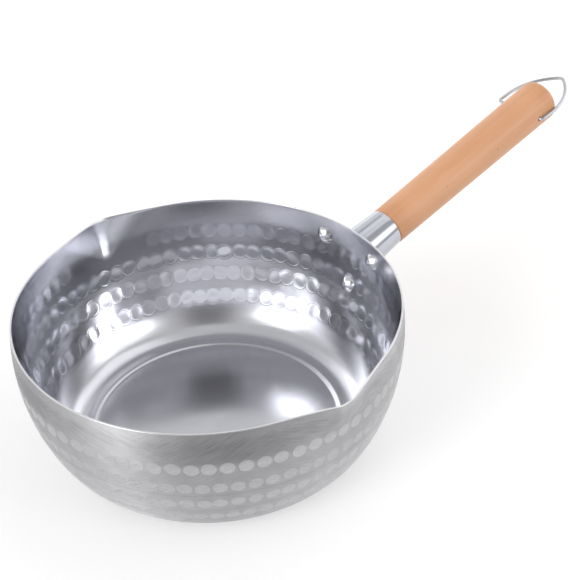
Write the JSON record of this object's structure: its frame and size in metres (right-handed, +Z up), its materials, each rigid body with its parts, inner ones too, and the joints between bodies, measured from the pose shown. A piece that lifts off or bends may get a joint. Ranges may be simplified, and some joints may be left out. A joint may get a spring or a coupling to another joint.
{
  "type": "milk pan",
  "caption": "Round hammered steel saucepan with pour lips on both sides, a straight wooden handle in a riveted ferrule and a swinging wire loop for hanging.",
  "frame": {"origin": "centre of the standing face under the bowl", "axes": "+X along the handle away from the bowl, +Y towards one pour lip, +Z up"},
  "size_m": [0.3848, 0.2138, 0.1148],
  "materials": {
    "bowl_steel": "satin stainless steel with hammer marks, polished lower wall inside",
    "bracket_steel": "satin stainless steel",
    "ferrule_steel": "polished stainless steel",
    "rivet_steel": "polished stainless steel",
    "handle_wood": "light orange-brown hardwood, satin lacquer",
    "screw_steel": "plain steel",
    "loop_wire": "bright plated wire"
  },
  "bodies": {
    "pan": {"pan_bowl": "bowl_steel", "bracket_plate": "bracket_steel", "ferrule": "ferrule_steel", "rivet_upper_left": "rivet_steel", "rivet_upper_right": "rivet_steel", "rivet_lower": "rivet_steel", "wooden_handle": "handle_wood", "handle_screw": "screw_steel"},
    "loop": {"hanging_loop": "loop_wire"}
  },
  "joints": [
    {"name": "loop_swing", "type": "hinge", "parent": "pan", "child": "loop", "pos_m": [0.24477, 0, 0.09948], "axis": [0, -1, 0], "range_deg": [-153, 159]}
  ]
}
